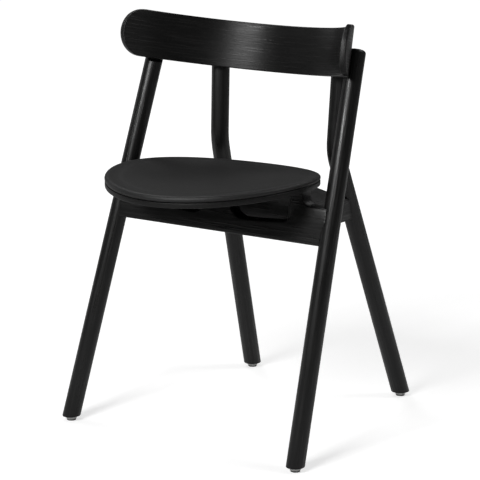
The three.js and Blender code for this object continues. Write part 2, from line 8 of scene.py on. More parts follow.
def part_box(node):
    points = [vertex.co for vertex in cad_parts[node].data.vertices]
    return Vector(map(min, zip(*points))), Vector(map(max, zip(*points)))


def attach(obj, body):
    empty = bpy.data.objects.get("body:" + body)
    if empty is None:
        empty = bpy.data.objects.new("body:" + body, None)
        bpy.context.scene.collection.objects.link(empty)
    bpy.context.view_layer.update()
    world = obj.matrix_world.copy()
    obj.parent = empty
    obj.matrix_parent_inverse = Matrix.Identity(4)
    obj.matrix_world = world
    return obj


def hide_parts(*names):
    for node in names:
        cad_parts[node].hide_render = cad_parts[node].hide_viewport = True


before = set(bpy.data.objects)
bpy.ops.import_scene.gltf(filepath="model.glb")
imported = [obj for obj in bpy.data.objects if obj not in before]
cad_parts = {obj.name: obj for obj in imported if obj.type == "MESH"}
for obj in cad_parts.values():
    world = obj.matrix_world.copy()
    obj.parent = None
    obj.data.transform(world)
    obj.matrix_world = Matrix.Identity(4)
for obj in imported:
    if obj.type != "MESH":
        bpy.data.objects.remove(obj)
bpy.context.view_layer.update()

# Sizes of the chair, in metres, as in the CAD source

FIT = 0.0003
GLIDE_HEIGHT = 0.0084

FRONT_RADIUS = 0.0163
FRONT_FOOT = Vector((0.2481, -0.2063, GLIDE_HEIGHT))
FRONT_TOP = Vector((0.215, 0.0306, 0.6949))
FRONT_ARRIS = 0.006

REAR_RADIUS = 0.0169
REAR_FOOT = Vector((0.1732, 0.2746, GLIDE_HEIGHT))
REAR_CORNER = Vector((0.1289, 0.1006, 0.4954))
REAR_TOP = Vector((0.1341, 0.1138, 0.708))
REAR_BEND_RADIUS = 0.096
REAR_ARRIS = 0.002

BACK_RADIUS = 0.2417
BACK_HEIGHT = 0.087
BACK_HALF_LENGTH = 0.3138
BACK_STRAIGHT = BACK_HALF_LENGTH - BACK_HEIGHT / 2
BACK_THICKNESS = 0.0115
BACK_LEAN = math.radians(11.9)
BACK_MIDDLE = Vector((0, 0.118, 0.6725))
BACK_ARRIS = 0.003
REBATE_RUNOUT = 0.006

SEAT_Y = -0.1011
SEAT_CURVE = 1 / (2 * 1.412)
PLATE_RADIUS = 0.1909
PLATE_UNDER = 0.4463
PLATE_THICKNESS = 0.0091
PLATE_TOP = PLATE_UNDER + PLATE_THICKNESS
PLATE_ARRIS = 0.0015
PAD_RADIUS = 0.1914
PAD_BOTTOM = PLATE_TOP + FIT

RAIL_BOTTOM = 0.368
RAIL_ARRIS = 0.0025
FRONT_RAIL_DEPTH = 0.0264 / math.cos(math.radians(12))
FRONT_RAIL_SLOPE = math.tan(math.radians(12))
FRONT_RAIL_AHEAD = 0.002
FRONT_RAIL_END = 0.432
SCOOP_FLOOR = 0.395
SCOOP_INNER, SCOOP_INNER_RADIUS = 0.02, 0.038
SCOOP_OUTER, SCOOP_OUTER_RADIUS = 0.152, 0.012
OUTER_LAND, OUTER_LAND_RADIUS = 0.174, 0.02
SIDE_RAIL_X = 0.14
SIDE_RAIL_THICKNESS = 0.018
SIDE_RAIL_TOP_END = -0.014
SIDE_RAIL_END = 0.405
REAR_RAIL_Y = -0.015
REAR_RAIL_THICKNESS = 0.02
HOUSING_DEPTH = 0.006

PLUG_RADIUS = 0.005
SCREW_BORE = 0.0055
SCREW_HEAD_OUT = 0.018 + FIT
GLIDE_RADIUS = 0.0096
FELT_RADIUS = 0.0084
FELT_HEIGHT = 0.0026

SIDES = {"right": 1, "left": -1}

# Heights of the backrest screws, as shares of half the board's height

SCREW_SHARES = {"rear": (0.1, 0.52), "front": (-0.55,)}

# Finer sizes, which only this model has

FOOT_ARRIS = 0.0008
REAR_RAIL_ARRIS = 0.0015
GLIDE_ARRIS = 0.0008
FELT_ARRIS = 0.0003
SCREW_HEAD_SHOWN = 0.0005

# The pad: its rolled edge, the band that is drawn onto it, and how far its middle may swell

ROLL_HEIGHT = 0.0096
ROLL_RADIUS = 0.0062
ROLL_INSET = 0.012
ROLL_DIP = 0.0003
CREASE_RADIUS = 0.0034
PAD_TOP = PAD_BOTTOM + ROLL_HEIGHT
BAND_WIDTH = 0.032
BAND_BLEND = 0.016
FRONT_RISE = 0.16
SWELL_MOST = 0.0014
SWELL_INSET = 0.012
SWELL_BLEND = 0.07
SWELL_LEAST = 0.05
GLUED_HEIGHT = 0.0015
VOXEL, QUICK_VOXEL = 0.004, 0.008
CLOTH_PRESSURE = 4
CLOTH_FRAMES = 20

# How finely round and bent shapes are cut

LEG_SIDES = 72
LEG_BEND_STEPS = 14
BOARD_SIDES = 96
BOARD_STEPS = 80
REBATE_STEPS = 48
SEAT_SIDES = 160
SEAT_RINGS = 10
SEAT_ROOM_STEPS = 60
SCOOP_STEPS = 16
BORE_SIDES = 32
GLIDE_SIDES = 48
FLOOR_SIDES = 96
SHARP_ANGLE = math.radians(35)

# Working sizes: spare length that is cut away, reach of the cutters, and what counts as touching

FOOT_SPARE = 0.03
CUT_SPARE = 0.02
REBATE_REACH = 0.066
SEAT_ROOM_REACH = 0.3
SEAT_ROOM_HEIGHT = 0.1
SCOOP_FLOOR_ZONE = 0.04
BORE_LENGTH = 0.12
NEAR = 0.00001

# The photograph's camera

VIEW_AZIMUTH = math.radians(35.03)
VIEW_ELEVATION = math.radians(12.64)
VIEW_DISTANCE = 3.5224
VIEW_LENS = 143.4
VIEW_SENSOR = 36
VIEW_ASIDE = -0.0292
VIEW_CENTRE = Vector((0, 0.03415, 0.3282))


def place_camera():
    across = Vector((math.cos(VIEW_AZIMUTH), math.sin(VIEW_AZIMUTH), 0))
    back = Vector((
        math.sin(VIEW_AZIMUTH) * math.cos(VIEW_ELEVATION),
        -math.cos(VIEW_AZIMUTH) * math.cos(VIEW_ELEVATION),
        math.sin(VIEW_ELEVATION),
    ))
    lens = bpy.data.cameras.new("camera")
    lens.lens = VIEW_LENS
    lens.sensor_width = VIEW_SENSOR
    camera = bpy.data.objects.new("camera", lens)
    bpy.context.scene.collection.objects.link(camera)
    camera.location = VIEW_CENTRE + across * VIEW_ASIDE + back * VIEW_DISTANCE
    camera.rotation_mode = "QUATERNION"
    camera.rotation_quaternion = (-back).to_track_quat("-Z", "Y")
    bpy.context.scene.camera = camera


place_camera()

# Modelling by hand: small names for steps that come back often

X, Y, Z = Vector((1, 0, 0)), Vector((0, 1, 0)), Vector((0, 0, 1))


def deselect():
    if bpy.context.mode != "OBJECT":
        bpy.ops.object.mode_set(mode="OBJECT")
    bpy.ops.object.select_all(action="DESELECT")


def hold(piece):
    deselect()
    piece.select_set(True)
    bpy.context.view_layer.objects.active = piece


def shape(piece):
    hold(piece)
    bpy.ops.object.mode_set(mode="EDIT")


def settle(piece):
    hold(piece)
    bpy.ops.object.transform_apply(location=True, rotation=True, scale=True)
    return piece


def new_piece(name):
    piece = bpy.context.object
    piece.name = name
    piece.data.name = name
    return settle(piece)


def pick(piece, part, test):
    """In edit mode, selects the verts, edges or faces that pass the test."""
    bpy.ops.mesh.select_mode(type={"verts": "VERT", "edges": "EDGE", "faces": "FACE"}[part])
    bpy.ops.mesh.select_all(action="DESELECT")
    mesh = bmesh.from_edit_mesh(piece.data)
    for element in getattr(mesh, part):
        element.select_set(test(element))
    mesh.select_flush(True)
    bmesh.update_edit_mesh(piece.data)


def lies_at(element, axis, *places):
    """Whether a whole edge or face lies at one of these places along an axis."""
    return any(
        all(abs(v.co.dot(axis) - place) < NEAR for v in element.verts) for place in places
    )


def ease(piece, test, width, segments, **settings):
    """Rounds the edges that pass the test."""
    shape(piece)
    pick(piece, "edges", test)
    bpy.ops.mesh.bevel(offset=width, segments=segments, affect="EDGES", **settings)
    deselect()


def move_points(piece, place_of):
    for point in piece.data.vertices:
        point.co = place_of(point.co)
    piece.data.update()


def raised(point, height):
    return Vector((point.x, point.y, point.z + height))


def on_side(point, side):
    return Vector((point.x * side, point.y, point.z))


def modify(piece, kind, **settings):
    modifier = piece.modifiers.new(kind.lower(), kind)
    for name, value in settings.items():
        setattr(modifier, name, value)
    hold(piece)
    bpy.ops.object.modifier_apply(modifier=modifier.name)


def cut(piece, cutter, operation="DIFFERENCE", keep=False):
    modify(piece, "BOOLEAN", object=cutter, operation=operation, solver="EXACT")
    if not keep:
        bpy.data.objects.remove(cutter)


def copy_of(piece, name):
    other = piece.copy()
    other.data = piece.data.copy()
    other.name = name
    other.data.name = name
    bpy.context.scene.collection.objects.link(other)
    return other


def tidy(piece):
    """Merges doubled points and turns all faces outwards."""
    shape(piece)
    bpy.ops.mesh.select_all(action="SELECT")
    bpy.ops.mesh.remove_doubles(threshold=NEAR)
    bpy.ops.mesh.normals_make_consistent(inside=False)
    deselect()


def mirrored(piece):
    """The left twin of a right piece."""
    other = copy_of(piece, piece.name.replace("right", "left"))
    other.scale.x = -1
    settle(other)
    tidy(other)
    return other


def smooth(piece):
    """Shades the piece smooth, but keeps its sharp edges."""
    hold(piece)
    bpy.ops.object.shade_smooth_by_angle(angle=SHARP_ANGLE)


def between(low, high, steps):
    """Evenly spaced places from low to high, without these two."""
    return [low + (high - low) * i / steps for i in range(1, steps)]


def slice_across(piece, axis, places):
    """Cuts edges round the piece at each place along an axis."""
    shape(piece)
    for place in places:
        bpy.ops.mesh.select_all(action="SELECT")
        bpy.ops.mesh.bisect(plane_co=axis * place, plane_no=axis)
    deselect()


def rod(name, low, high, radius, sides):
    """A round bar between two points."""
    deselect()
    axis = high - low
    bpy.ops.mesh.primitive_cylinder_add(
        vertices=sides,
        radius=radius,
        depth=axis.length,
        location=(low + high) / 2,
        rotation=axis.to_track_quat("Z", "Y").to_euler(),
    )
    return new_piece(name)


def block(name, low, high):
    """A box between two corners."""
    deselect()
    bpy.ops.mesh.primitive_cube_add(size=1, location=(low + high) / 2, scale=high - low)
    return new_piece(name)


def disc(name, radius, low, height):
    """A flat round blank over the middle of the seat."""
    deselect()
    bpy.ops.mesh.primitive_cylinder_add(
        vertices=SEAT_SIDES, radius=radius, depth=height, location=(0, SEAT_Y, low + height / 2)
    )
    return new_piece(name)


def mark_grain(piece, place_of, start):
    """Writes where each point lies in the straight wood: along, across and through."""
    mark = piece.data.attributes.new("grain", "FLOAT_VECTOR", "POINT")
    for point in piece.data.vertices:
        mark.data[point.index].vector = place_of(point.co) + Vector(start)


def dress(piece, node, slot, material, *more_nodes):
    """Gives a finished piece its material, hides the CAD parts that it stands for, and sets what
    it rides on.
    """
    piece.data.materials.clear()
    piece.data.materials.append(material)
    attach(piece, "root")
    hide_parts(node, *more_nodes)


# Backrest board: modelled flat, X along it, Y through it and Z up, then bent and leaned back

BACK_TURN = Matrix.Rotation(-BACK_LEAN, 4, "X")
BACK_ACROSS = BACK_TURN.to_3x3() @ Y
BACK_UP = BACK_TURN.to_3x3() @ Z
BACK_CENTRE = BACK_MIDDLE - BACK_ACROSS * BACK_RADIUS


def bend_board(piece):
    """Bends a flat piece over the backrest's arc and puts it in its place."""
    along = [point.co.x for point in piece.data.vertices]
    length = max(along) - min(along)
    modify(
        piece, "SIMPLE_DEFORM", deform_method="BEND", deform_axis="Z",
        angle=-length / BACK_RADIUS,
    )
    piece.matrix_world = Matrix.Translation(BACK_MIDDLE) @ BACK_TURN
    return settle(piece)


def board_flat(name, grow=0.0):
    """The board before it is bent, or the room that it needs if it is grown."""
    deselect()
    bpy.ops.mesh.primitive_cylinder_add(
        vertices=BOARD_SIDES, radius=BACK_HEIGHT / 2 + grow, depth=BACK_THICKNESS + 2 * grow,
        location=(0, BACK_THICKNESS / 2, 0), rotation=(math.pi / 2, math.pi / BOARD_SIDES, 0),
    )
    board = new_piece(name)
    shape(board)
    for way in (1, -1):
        pick(board, "verts", lambda v: v.co.x * way > 0 and abs(v.co.x) < BACK_STRAIGHT)
        bpy.ops.transform.translate(value=(way * BACK_STRAIGHT, 0, 0))
    ease(
        board, lambda e: lies_at(e, Y, -grow, BACK_THICKNESS + grow), BACK_ARRIS, segments=4,
        offset_type="WIDTH",
    )
    reach = BACK_HALF_LENGTH + grow
    slice_across(board, X, between(-reach, reach, BOARD_STEPS))
    return board


def back_place(point):
    """Where a point of the bent board lay when the board was flat."""
    arm = point - BACK_CENTRE
    out = arm.dot(BACK_ACROSS)
    along = math.atan2(arm.x, out) * BACK_RADIUS
    return Vector((along, arm.dot(BACK_UP), math.hypot(arm.x, out) - BACK_RADIUS))


def backrest():
    board = bend_board(board_flat("backrest"))
    smooth(board)
    mark_grain(board, back_place, (0, 0.31, 0.2))
    return board


def rebate_cutter():
    """Everything inside the board's outer face above its lower edge, with a round run-out."""
    low = -BACK_HEIGHT / 2 - FIT
    bottom, outer = low - REBATE_RUNOUT, BACK_THICKNESS + FIT
    cutter = block(
        "rebate", Vector((0, -REBATE_REACH, bottom)), Vector((BACK_STRAIGHT, outer, BACK_HEIGHT))
    )
    ease(
        cutter, lambda e: lies_at(e, Y, outer) and lies_at(e, Z, bottom), REBATE_RUNOUT,
        segments=12,
    )
    slice_across(cutter, X, between(0, BACK_STRAIGHT, REBATE_STEPS))
    return bend_board(cutter)


# Legs: the right one of each pair is modelled, and the left one is its mirror image


def on_axis(foot, top, z):
    """The point at a height on the line from a leg's foot to its top."""
    run = top - foot
    return foot + run * ((z - foot.z) / run.z)


FRONT_AXIS = (FRONT_TOP - FRONT_FOOT).normalized()
FRONT_ACROSS = FRONT_AXIS.cross(Y).normalized()
FRONT_THROUGH = FRONT_AXIS.cross(FRONT_ACROSS)


def front_place_of(point):
    """Turns a point of the front leg into its place along, across and through the wood."""
    arm = point - FRONT_FOOT
    return Vector((arm.dot(FRONT_AXIS), arm.dot(FRONT_ACROSS), arm.dot(FRONT_THROUGH)))


def level_foot(leg):
    """Cuts the leg off level where its glide starts."""
    shape(leg)
    bpy.ops.mesh.select_all(action="SELECT")
    bpy.ops.mesh.bisect(plane_co=Z * GLIDE_HEIGHT, plane_no=Z, clear_inner=True, use_fill=True)
    ease(leg, lambda e: lies_at(e, Z, GLIDE_HEIGHT), FOOT_ARRIS, segments=2)


def ease_top(leg, top, axis, arris):
    ease(leg, lambda e: lies_at(e, axis, top.dot(axis)), arris, segments=8)


def screw_places():
    """Each right backrest screw: its leg, its point on the board's outer face, its way out."""
    runs = {"rear": (REAR_CORNER, REAR_TOP), "front": (FRONT_FOOT, FRONT_TOP)}
    places = []
    for leg, shares in SCREW_SHARES.items():
        start, end = runs[leg]
        arm, run = start - BACK_CENTRE, end - start
        for share in shares:
            height = share * BACK_HEIGHT / 2
            hit = arm + run * ((height - arm.dot(BACK_UP)) / run.dot(BACK_UP))
            out = (BACK_ACROSS * hit.dot(BACK_ACROSS) + Vector((hit.x, 0, 0))).normalized()
            face = BACK_CENTRE + BACK_UP * height + out * (BACK_RADIUS + BACK_THICKNESS)
            places.append((leg, face, out))
    return places


def fit_to_board(post, kind, board_room):
    """Cuts the board's room and the plug holes into a leg; its plugs are cut flush with it."""
    blank = copy_of(post, kind + "_blank")
    cut(post, board_room)
    plugs = []
    for number, (leg, face, out) in enumerate(screw_places(), start=1):
        if leg != kind:
            continue
        start = face + out * SCREW_HEAD_OUT
        end = start + out * 2 * REAR_RADIUS
        cut(post, rod("bore", start, end, PLUG_RADIUS + FIT, BORE_SIDES))
        plug_name = "plug_wood_" + kind + "_right_" + str(number)
        plug = rod(plug_name, start, end, PLUG_RADIUS, BORE_SIDES)
        cut(plug, blank, "INTERSECT", keep=True)
        plugs.append(plug)
    bpy.data.objects.remove(blank)
    return post, plugs


def front_post():
    foot = FRONT_FOOT - FRONT_AXIS * FOOT_SPARE
    post = rod("front_post_right", foot, FRONT_TOP, FRONT_RADIUS, LEG_SIDES)
    ease_top(post, FRONT_TOP, FRONT_AXIS, FRONT_ARRIS)
    level_foot(post)
    return fit_to_board(post, "front", rebate_cutter())


def rear_line():
    """The bent leg's own directions: low and high axis, bend plane, bend start and centre."""
    low = (REAR_CORNER - REAR_FOOT).normalized()
    high = (REAR_TOP - REAR_CORNER).normalized()
    plane = low.cross(high).normalized()
    angle = low.angle(high)
    start = REAR_CORNER - low * REAR_BEND_RADIUS * math.tan(angle / 2)
    centre = start + plane.cross(low) * REAR_BEND_RADIUS
    return low, high, plane, angle, start, centre


def rear_place_of(point):
    """Turns a point of the rear leg into its place along, across and through the wood."""
    low, high, plane, angle, start, centre = rear_line()
    toward = plane.cross(low)
    arm = point - start
    if arm.dot(low) <= 0:
        return Vector((arm.dot(low), arm.dot(toward), arm.dot(plane)))
    arm = point - centre
    turn = math.atan2(arm.dot(low), -arm.dot(toward))
    if 0 <= turn <= angle:
        flat = arm - plane * arm.dot(plane)
        return Vector((turn * REAR_BEND_RADIUS, REAR_BEND_RADIUS - flat.length, arm.dot(plane)))
    inward = plane.cross(high)
    arm = point - (centre - inward * REAR_BEND_RADIUS)
    along = angle * REAR_BEND_RADIUS + arm.dot(high)
    return Vector((along, arm.dot(inward), arm.dot(plane)))


def rear_post():
    low, high, plane, angle, start, centre = rear_line()
    foot = REAR_FOOT - low * FOOT_SPARE
    deselect()
    bpy.ops.mesh.primitive_circle_add(
        vertices=LEG_SIDES, radius=REAR_RADIUS, fill_type="NGON",
        location=foot, rotation=low.to_track_quat("Z", "Y").to_euler(),
    )
    post = new_piece("rear_post_right")
    shape(post)
    bpy.ops.mesh.select_mode(type="FACE")
    bpy.ops.mesh.select_all(action="SELECT")
    bpy.ops.mesh.extrude_region_move(TRANSFORM_OT_translate={"value": start - foot})
    bpy.ops.mesh.spin(steps=LEG_BEND_STEPS, angle=-angle, center=centre, axis=plane)
    bend_end = centre - plane.cross(high) * REAR_BEND_RADIUS
    bpy.ops.mesh.extrude_region_move(TRANSFORM_OT_translate={"value": REAR_TOP - bend_end})
    tidy(post)
    ease_top(post, REAR_TOP, high, REAR_ARRIS)
    level_foot(post)
    return fit_to_board(post, "rear", bend_board(board_flat("board_room", grow=FIT)))


# Rails, trimmed to the bent seat plate above them


def seat_sag(x):
    """How far the bent seat has risen at a distance from its middle line."""
    return SEAT_CURVE * x * x


def bend_seat(piece):
    move_points(piece, lambda p: raised(p, seat_sag(p.x)))


def trim_to_plate(rail):
    """Cuts a rail off a fit's width below the plate's curved underside."""
    low, reach = PLATE_UNDER - FIT, SEAT_ROOM_REACH
    cutter = block(
        "plate_room",
        Vector((-reach, -reach, low)), Vector((reach, reach, low + SEAT_ROOM_HEIGHT)),
    )
    slice_across(cutter, X, between(-reach, reach, SEAT_ROOM_STEPS))
    bend_seat(cutter)
    cut(rail, cutter)


def hollow(low, high, left_radius, right_radius, sag):
    """A block that cuts a hollow: it has round lower corners, and its floor may be bent."""
    cutter = block("hollow", low, high)
    for wall, radius in ((low.x, left_radius), (high.x, right_radius)):
        if radius:
            ease(
                cutter, lambda e: lies_at(e, X, wall) and lies_at(e, Z, low.z), radius,
                segments=12,
            )
    if sag:
        slice_across(cutter, X, between(low.x, high.x, SCOOP_STEPS))
        move_points(
            cutter,
            lambda p: raised(p, seat_sag(p.x) if p.z < low.z + SCOOP_FLOOR_ZONE else 0),
        )
    return cutter


def front_rail_y(z):
    """The middle of the leaning front rail's thickness at a height."""
    middle = on_axis(FRONT_FOOT, FRONT_TOP, SCOOP_FLOOR).y - FRONT_RAIL_AHEAD
    return middle + (z - SCOOP_FLOOR) * FRONT_RAIL_SLOPE


def front_rail():
    """Cut upright, then leaned back in line with the front legs and fitted to them."""
    half_depth = FRONT_RAIL_DEPTH / 2
    end = on_axis(FRONT_FOOT, FRONT_TOP, RAIL_BOTTOM).x - FRONT_RADIUS / 4
    top = PLATE_UNDER + CUT_SPARE
    rail = block(
        "rail_front", Vector((-end, -half_depth, RAIL_BOTTOM)), Vector((end, half_depth, top))
    )
    scoop = (SCOOP_INNER, SCOOP_OUTER, SCOOP_FLOOR, SCOOP_INNER_RADIUS, SCOOP_OUTER_RADIUS, True)
    low_end = (OUTER_LAND, end + CUT_SPARE, FRONT_RAIL_END, OUTER_LAND_RADIUS, 0, False)
    for way in (1, -1):
        for inner, outer, floor, inner_radius, outer_radius, sag in (scoop, low_end):
            low_x, high_x = sorted((inner * way, outer * way))
            radii = (inner_radius, outer_radius) if way > 0 else (outer_radius, inner_radius)
            cut(rail, hollow(
                Vector((low_x, -half_depth - CUT_SPARE, floor)),
                Vector((high_x, half_depth + CUT_SPARE, top + CUT_SPARE)),
                *radii, sag,
            ))
    tidy(rail)

    def is_arris(edge):
        if not lies_at(edge, Y, -half_depth, half_depth) or lies_at(edge, Z, top):
            return False
        normals = [face.normal.y for face in edge.link_faces]
        return len(normals) == 2 and abs(normals[0] - normals[1]) > 0.5

    ease(rail, is_arris, RAIL_ARRIS, segments=3)
    trim_to_plate(rail)
    lean = Matrix.Identity(4)
    lean[1][2], lean[1][3] = FRONT_RAIL_SLOPE, front_rail_y(0)
    rail.data.transform(lean)
    heights = (RAIL_BOTTOM - CUT_SPARE, top + CUT_SPARE)
    for side in SIDES.values():
        low, high = (on_side(on_axis(FRONT_FOOT, FRONT_TOP, z), side) for z in heights)
        cut(rail, rod("leg_room", low, high, FRONT_RADIUS + FIT, LEG_SIDES))
    return rail


def side_rail():
    """The right one, cut to its outline as seen from the side and housed for the rear rail."""
    low_x, high_x = SIDE_RAIL_X - SIDE_RAIL_THICKNESS / 2, SIDE_RAIL_X + SIDE_RAIL_THICKNESS / 2
    top = PLATE_UNDER + seat_sag(high_x) + PLATE_THICKNESS / 4

    def front_y(z):
        return front_rail_y(z) + FRONT_RAIL_DEPTH / 2 + FIT

    def rear_y(z):
        return on_axis(REAR_FOOT, REAR_CORNER, z).y - REAR_RADIUS / 2

    outline = [
        (front_y(RAIL_BOTTOM), RAIL_BOTTOM),
        (rear_y(RAIL_BOTTOM), RAIL_BOTTOM),
        (rear_y(SIDE_RAIL_END), SIDE_RAIL_END),
        (SIDE_RAIL_TOP_END, top),
        (front_y(top), top),
    ]
    rail = block(
        "rail_side_right",
        Vector((low_x, outline[0][0] - CUT_SPARE, RAIL_BOTTOM)),
        Vector((high_x, outline[1][0], top)),
    )
    shape(rail)
    for (y1, z1), (y2, z2) in zip(outline[1:], outline[2:] + outline[:1]):
        if abs(z1 - z2) < NEAR:
            continue
        bpy.ops.mesh.select_all(action="SELECT")
        bpy.ops.mesh.bisect(
            plane_co=(0, y1, z1), plane_no=(0, z1 - z2, y2 - y1), clear_inner=True, use_fill=True
        )
    tidy(rail)
    ease(
        rail,
        lambda e: lies_at(e, X, low_x, high_x)
        and not all(v.co.y < front_y(v.co.z) + NEAR for v in e.verts),
        RAIL_ARRIS, segments=3,
    )
    trim_to_plate(rail)
    leg_low, leg_high = (
        on_axis(REAR_FOOT, REAR_CORNER, z) for z in (RAIL_BOTTOM - CUT_SPARE, top + CUT_SPARE)
    )
    cut(rail, rod("leg_room", leg_low, leg_high, REAR_RADIUS + FIT, LEG_SIDES))
    half = REAR_RAIL_THICKNESS / 2 + FIT
    cut(rail, block(
        "housing",
        Vector((0, REAR_RAIL_Y - half, RAIL_BOTTOM - CUT_SPARE)),
        Vector((low_x + HOUSING_DEPTH + FIT, REAR_RAIL_Y + half, top + CUT_SPARE)),
    ))
    return rail


def rear_rail():
    """Runs from one side rail's housing to the other's."""
    end = SIDE_RAIL_X - SIDE_RAIL_THICKNESS / 2 + HOUSING_DEPTH
    front_y, rear_y = (REAR_RAIL_Y + way * REAR_RAIL_THICKNESS / 2 for way in (-1, 1))
    rail = block(
        "rail_rear",
        Vector((-end, front_y, RAIL_BOTTOM)), Vector((end, rear_y, PLATE_UNDER + CUT_SPARE)),
    )
    ease(
        rail, lambda e: lies_at(e, Z, RAIL_BOTTOM) and lies_at(e, Y, front_y, rear_y),
        REAR_RAIL_ARRIS, segments=3,
    )
    trim_to_plate(rail)
    return rail


def bore_for_screw(rail, node):
    """The counterbore under a seat screw, from the rail's lower edge up to the screw's head."""
    low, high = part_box(node)
    middle = (low + high) / 2
    slope = FRONT_RAIL_SLOPE if node == "seat_screw_front" else 0
    head_y = middle.y - slope * (middle.z - low.z)
    head = Vector((middle.x, head_y, low.z + SCREW_HEAD_SHOWN))
    way = Vector((0, -slope, -1)).normalized()
    cut(rail, rod("bore", head, head + way * BORE_LENGTH, SCREW_BORE + FIT, BORE_SIDES))


def rail_place(along, across, through):
    """Places in a rail's wood, from the directions that its grain has in the chair."""
    return lambda p: Vector((p.dot(along), p.dot(across), p.dot(through)))


# Seat plate and pad: modelled flat and round, then bent as the seat is


def plate():
    sheet = disc("plate", PLATE_RADIUS, PLATE_UNDER, PLATE_THICKNESS)
    ease(sheet, lambda e: lies_at(e, Z, PLATE_UNDER, PLATE_TOP), PLATE_ARRIS, segments=4)
    shape(sheet)
    for level in (PLATE_UNDER, PLATE_TOP):
        pick(sheet, "faces", lambda f: lies_at(f, Z, level))
        for _ in range(SEAT_RINGS - 1):
            bpy.ops.mesh.inset(thickness=PLATE_RADIUS / SEAT_RINGS)
        bpy.ops.mesh.poke()
    bend_seat(settle(sheet))
    smooth(sheet)
    mark_grain(
        sheet, lambda p: Vector((p.y, p.x, p.z - seat_sag(p.x))), (0.2, 0.4, -PLATE_UNDER)
    )
    return sheet


def pad_blank(name, segments):
    """A round blank with the pad's rolled upper edge and its smaller lower one."""
    blank = disc(name, PAD_RADIUS, PAD_BOTTOM, ROLL_HEIGHT)
    for level, width in ((PAD_TOP, ROLL_RADIUS), (PAD_BOTTOM, CREASE_RADIUS)):
        ease(blank, lambda e: lies_at(e, Z, level), width, segments)
    return blank


def pad_roll():
    """The pad's rolled edge as a plain body, for the leather to be drawn onto."""
    roll = pad_blank("roll", segments=10)
    shape(roll)
    pick(roll, "faces", lambda f: lies_at(f, Z, PAD_TOP))
    bpy.ops.mesh.inset(thickness=ROLL_INSET)
    bpy.ops.transform.translate(value=(0, 0, -ROLL_DIP))
    deselect()
    return roll


def from_middle(point):
    """How far a point lies from the middle of the seat, seen from above."""
    return math.hypot(point.x, point.y - SEAT_Y)


def draw_to_roll(pad):
    """Draws the outer band of the pad onto its rolled edge; the middle keeps its swell."""
    band = pad.vertex_groups.new(name="band")
    for point in pad.data.vertices:
        share = (from_middle(point.co) - PAD_RADIUS + BAND_WIDTH) / BAND_BLEND
        if share > 0:
            band.add([point.index], min(share, 1.0), "REPLACE")
    roll = pad_roll()
    for _ in range(2):
        modify(
            pad, "SHRINKWRAP", target=roll, wrap_method="NEAREST_SURFACEPOINT", vertex_group="band"
        )
        modify(pad, "SMOOTH", factor=0.5, iterations=4, vertex_group="band")
    bpy.data.objects.remove(roll)


def swell(pad):
    """Blows the pad up as cloth under pressure; near the rim its points move less."""
    before = [point.co.copy() for point in pad.data.vertices]
    glued = pad.vertex_groups.new(name="glued")
    low_points = [i for i, p in enumerate(before) if p.z < PAD_BOTTOM + GLUED_HEIGHT]
    glued.add(low_points, 1.0, "REPLACE")
    cloth = pad.modifiers.new("swell", "CLOTH")
    cloth.settings.vertex_group_mass = "glued"
    cloth.settings.use_pressure = True
    cloth.settings.uniform_pressure_force = CLOTH_PRESSURE
    cloth.settings.effector_weights.gravity = 0
    for step in range(1, CLOTH_FRAMES + 1):
        bpy.context.scene.frame_set(step)
    hold(pad)
    bpy.ops.object.modifier_apply(modifier="swell")
    bpy.context.scene.frame_set(1)
    for point, start in zip(pad.data.vertices, before):
        way = point.co - start
        inside = (PAD_RADIUS - SWELL_INSET - from_middle(start)) / SWELL_BLEND
        most = SWELL_MOST * min(max(inside, SWELL_LEAST), 1.0)
        if way.length > most:
            point.co = start + way * (most / way.length)


def fuller_in_front(point):
    """The pad is a little fuller in front than at the back."""
    rise = 1 + FRONT_RISE * (SEAT_Y - point.y) / PAD_RADIUS
    return Vector((point.x, point.y, PAD_BOTTOM + (point.z - PAD_BOTTOM) * rise))


def seat_pad():
    """A foam pad under leather: swollen in the middle, with a rolled edge."""
    pad = pad_blank("seat_pad", segments=6)
    modify(pad, "REMESH", mode="VOXEL", voxel_size=VOXEL)
    swell(pad)
    modify(pad, "SMOOTH", factor=0.5, iterations=3)
    modify(pad, "SUBSURF", levels=1, render_levels=1)
    draw_to_roll(pad)
    move_points(pad, fuller_in_front)
    bend_seat(pad)
    hold(pad)
    bpy.ops.object.shade_smooth()
    return pad


# Glides


def glide():
    """One glide on the origin: the nylon ring and the felt sole under it."""
    parts = []
    for name, low, high, radius, arris, segments in (
        ("glide_ring", FELT_HEIGHT + FIT, GLIDE_HEIGHT - FIT, GLIDE_RADIUS, GLIDE_ARRIS, 3),
        ("glide_sole", 0, FELT_HEIGHT, FELT_RADIUS, FELT_ARRIS, 2),
    ):
        part = rod(name, Z * low, Z * high, radius, GLIDE_SIDES)
        ease(part, lambda e: lies_at(e, Z, low, high), arris, segments)
        parts.append(part)
    return parts


# Finishes: shader maths as plain expressions


class Wire:
    """A value that runs through a finish's nodes; sums and products add Math nodes."""

    def __init__(self, finish, socket):
        self.finish, self.socket = finish, socket

    def math(self, operation, *values):
        return self.finish.node("Math", {"operation": operation}, *values)

    def __add__(self, other):
        return self.math("ADD", self, other)

    def __sub__(self, other):
        return self.math("SUBTRACT", self, other)

    def __rsub__(self, other):
        return self.math("SUBTRACT", other, self)

    def __mul__(self, other):
        return self.math("MULTIPLY", self, other)

    def fraction(self):
        return self.math("FRACT", self)

    __radd__, __rmul__ = __add__, __mul__


